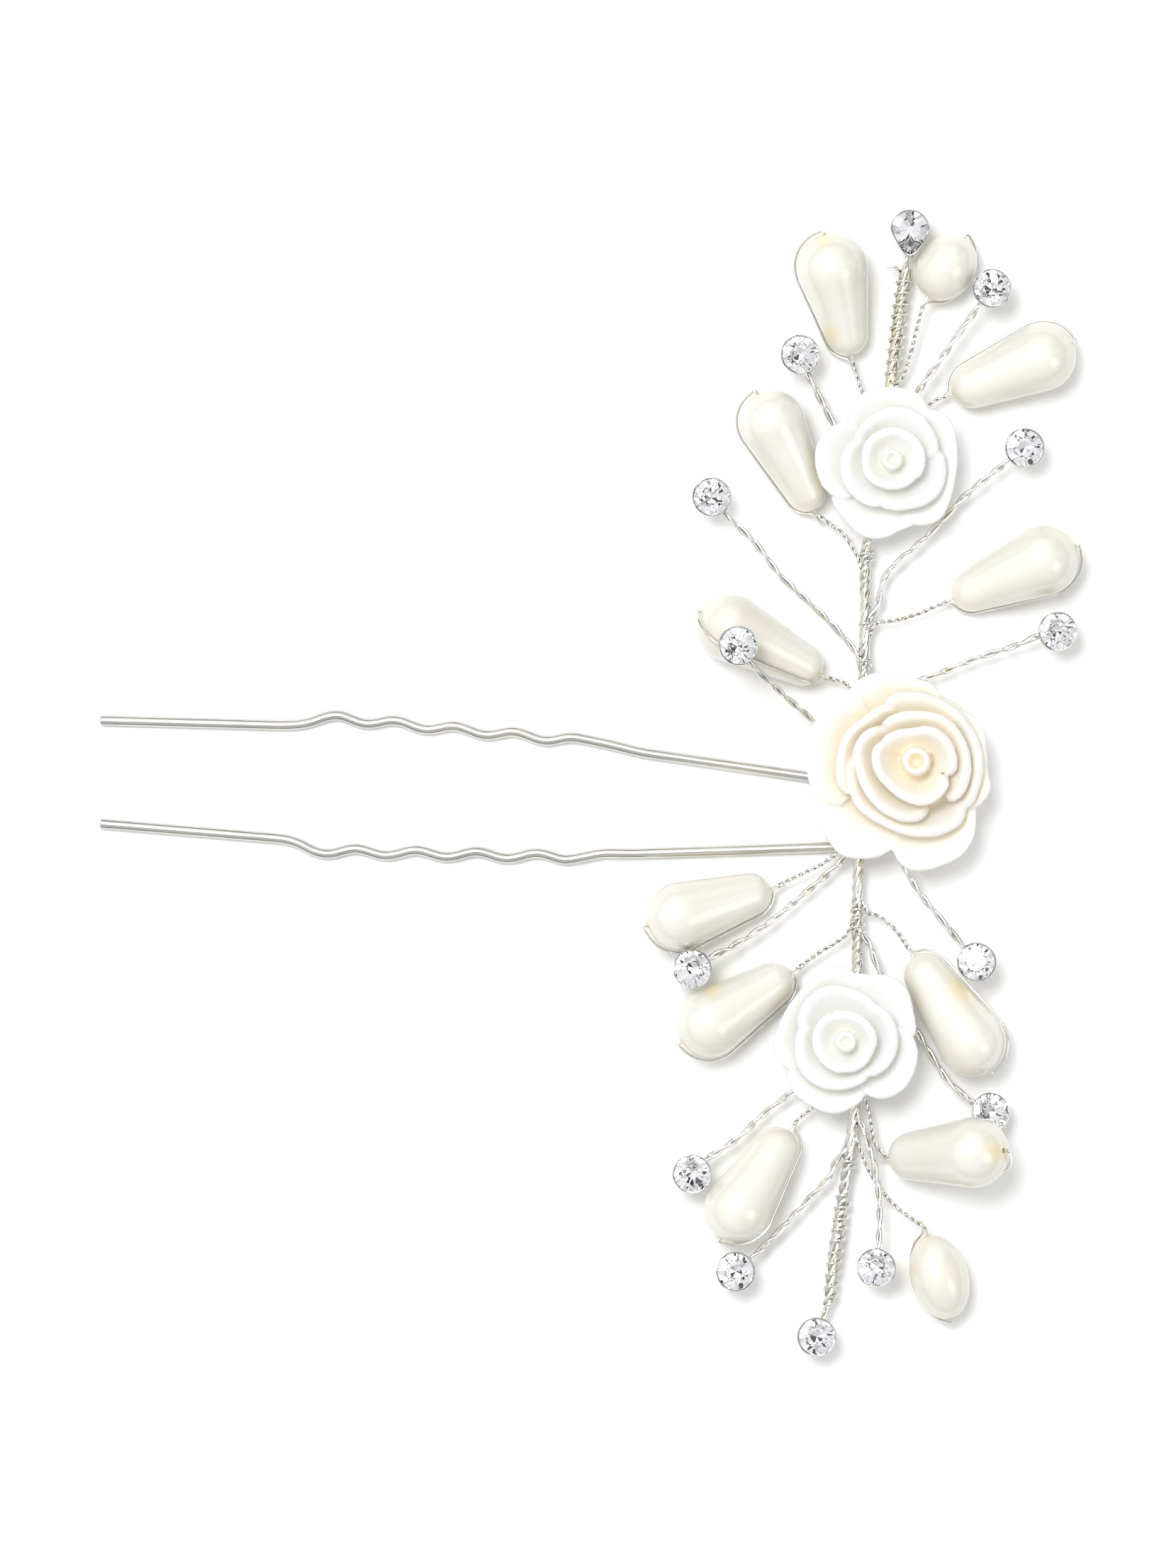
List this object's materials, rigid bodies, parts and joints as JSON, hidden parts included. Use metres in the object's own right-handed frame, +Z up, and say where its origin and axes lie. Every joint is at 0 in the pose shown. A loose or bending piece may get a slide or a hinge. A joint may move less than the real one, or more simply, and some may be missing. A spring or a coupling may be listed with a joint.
{
  "type": "flower hair clip",
  "caption": "Bridal hairpin: a crimped wire U-pin slides into an updo and holds a wired spray of roses, pearls and crystals.",
  "frame": {"origin": "on the surface that the piece lies on, under the middle of its whole outline", "axes": "+X from the pin's tips towards the spray, +Y along the spray to the pear-shaped crystal, +Z up through the flowers"},
  "size_m": [0.1003, 0.1168, 0.0109],
  "materials": {
    "pin_steel": "bright plated steel wire",
    "wire_silver": "bright silver-plated craft wire",
    "pearl_coating": "soft-gloss pearl coating on a plastic bead",
    "foiled_crystal": "faceted clear glass with a mirror-foiled back",
    "rose_white": "satin cast resin, white",
    "rose_ivory": "satin cast resin, ivory",
    "clear_glue": "set clear glue, slightly yellow"
  },
  "bodies": {
    "frame": {"hairpin": "pin_steel", "spine": "wire_silver", "spine_wrap": "wire_silver", "pin_lashing": "wire_silver", "rose_center": "rose_ivory", "rose_top": "rose_white", "rose_bottom": "rose_white", "rose_glue": "clear_glue", "teardrop_wire_01": "wire_silver", "teardrop_wire_02": "wire_silver", "teardrop_wire_03": "wire_silver", "teardrop_wire_04": "wire_silver", "teardrop_wire_05": "wire_silver", "teardrop_wire_06": "wire_silver", "teardrop_wire_07": "wire_silver", "teardrop_wire_08": "wire_silver", "teardrop_wire_09": "wire_silver", "teardrop_wire_10": "wire_silver", "oval_wire_01": "wire_silver", "oval_wire_02": "wire_silver", "crystal_stem_01": "wire_silver", "crystal_stem_02": "wire_silver", "crystal_stem_03": "wire_silver", "crystal_stem_04": "wire_silver", "crystal_stem_05": "wire_silver", "crystal_stem_06": "wire_silver", "crystal_stem_07": "wire_silver", "crystal_stem_08": "wire_silver", "crystal_stem_09": "wire_silver", "crystal_stem_10": "wire_silver", "crystal_stem_11": "wire_silver", "crystal_stem_12": "wire_silver", "crystal_stem_13": "wire_silver", "crystal_stem_14": "wire_silver", "crystal_01": "foiled_crystal", "crystal_02": "foiled_crystal", "crystal_03": "foiled_crystal", "crystal_04": "foiled_crystal", "crystal_05": "foiled_crystal", "crystal_06": "foiled_crystal", "crystal_07": "foiled_crystal", "crystal_08": "foiled_crystal", "crystal_09": "foiled_crystal", "crystal_10": "foiled_crystal", "crystal_11": "foiled_crystal", "crystal_12": "foiled_crystal", "crystal_13": "foiled_crystal", "crystal_14": "foiled_crystal"},
    "teardrop_pearl_01": {"teardrop_pearl_01": "pearl_coating"},
    "teardrop_pearl_02": {"teardrop_pearl_02": "pearl_coating"},
    "teardrop_pearl_03": {"teardrop_pearl_03": "pearl_coating"},
    "teardrop_pearl_04": {"teardrop_pearl_04": "pearl_coating"},
    "teardrop_pearl_05": {"teardrop_pearl_05": "pearl_coating"},
    "teardrop_pearl_06": {"teardrop_pearl_06": "pearl_coating"},
    "teardrop_pearl_07": {"teardrop_pearl_07": "pearl_coating"},
    "teardrop_pearl_08": {"teardrop_pearl_08": "pearl_coating"},
    "teardrop_pearl_09": {"teardrop_pearl_09": "pearl_coating"},
    "teardrop_pearl_10": {"teardrop_pearl_10": "pearl_coating"},
    "oval_pearl_01": {"oval_pearl_01": "pearl_coating"},
    "oval_pearl_02": {"oval_pearl_02": "pearl_coating"}
  },
  "joints": [
    {"name": "teardrop_pearl_01_spin", "type": "hinge", "parent": "frame", "child": "teardrop_pearl_01", "pos_m": [0.02528, 0.04974, 0.00306], "axis": [-0.2197, 0.9517, 0.2143], "continuous": true},
    {"name": "teardrop_pearl_02_spin", "type": "hinge", "parent": "frame", "child": "teardrop_pearl_02", "pos_m": [0.04307, 0.04219, 0.00303], "axis": [0.9172, 0.3706, 0.1467], "continuous": true},
    {"name": "teardrop_pearl_03_spin", "type": "hinge", "parent": "frame", "child": "teardrop_pearl_03", "pos_m": [0.02001, 0.03377, 0.00286], "axis": [-0.4476, 0.8785, 0.1667], "continuous": true},
    {"name": "teardrop_pearl_04_spin", "type": "hinge", "parent": "frame", "child": "teardrop_pearl_04", "pos_m": [0.04323, 0.02145, 0.00306], "axis": [0.9047, 0.384, 0.1847], "continuous": true},
    {"name": "teardrop_pearl_05_spin", "type": "hinge", "parent": "frame", "child": "teardrop_pearl_05", "pos_m": [0.01742, 0.01425, 0.00295], "axis": [-0.88, 0.4484, 0.1566], "continuous": true},
    {"name": "teardrop_pearl_06_spin", "type": "hinge", "parent": "frame", "child": "teardrop_pearl_06", "pos_m": [0.0121, -0.01263, 0.00296], "axis": [-0.9422, -0.2881, 0.1711], "continuous": true},
    {"name": "teardrop_pearl_07_spin", "type": "hinge", "parent": "frame", "child": "teardrop_pearl_07", "pos_m": [0.01487, -0.02282, 0.00298], "axis": [-0.8367, -0.5228, 0.1634], "continuous": true},
    {"name": "teardrop_pearl_08_spin", "type": "hinge", "parent": "frame", "child": "teardrop_pearl_08", "pos_m": [0.03691, -0.0235, 0.00299], "axis": [0.5533, -0.8203, 0.1446], "continuous": true},
    {"name": "teardrop_pearl_09_spin", "type": "hinge", "parent": "frame", "child": "teardrop_pearl_09", "pos_m": [0.03637, -0.03768, 0.00565], "axis": [0.8375, 0.0733, 0.5415], "continuous": true},
    {"name": "teardrop_pearl_10_spin", "type": "hinge", "parent": "frame", "child": "teardrop_pearl_10", "pos_m": [0.01674, -0.04088, 0.00303], "axis": [-0.5367, -0.8265, 0.1701], "continuous": true},
    {"name": "oval_pearl_01_spin", "type": "hinge", "parent": "frame", "child": "oval_pearl_01", "pos_m": [0.03631, 0.05255, 0.00295], "axis": [0.5299, 0.848, 0], "continuous": true},
    {"name": "oval_pearl_02_spin", "type": "hinge", "parent": "frame", "child": "oval_pearl_02", "pos_m": [0.03561, -0.05033, 0.00295], "axis": [0.2756, -0.9613, 0], "continuous": true}
  ]
}
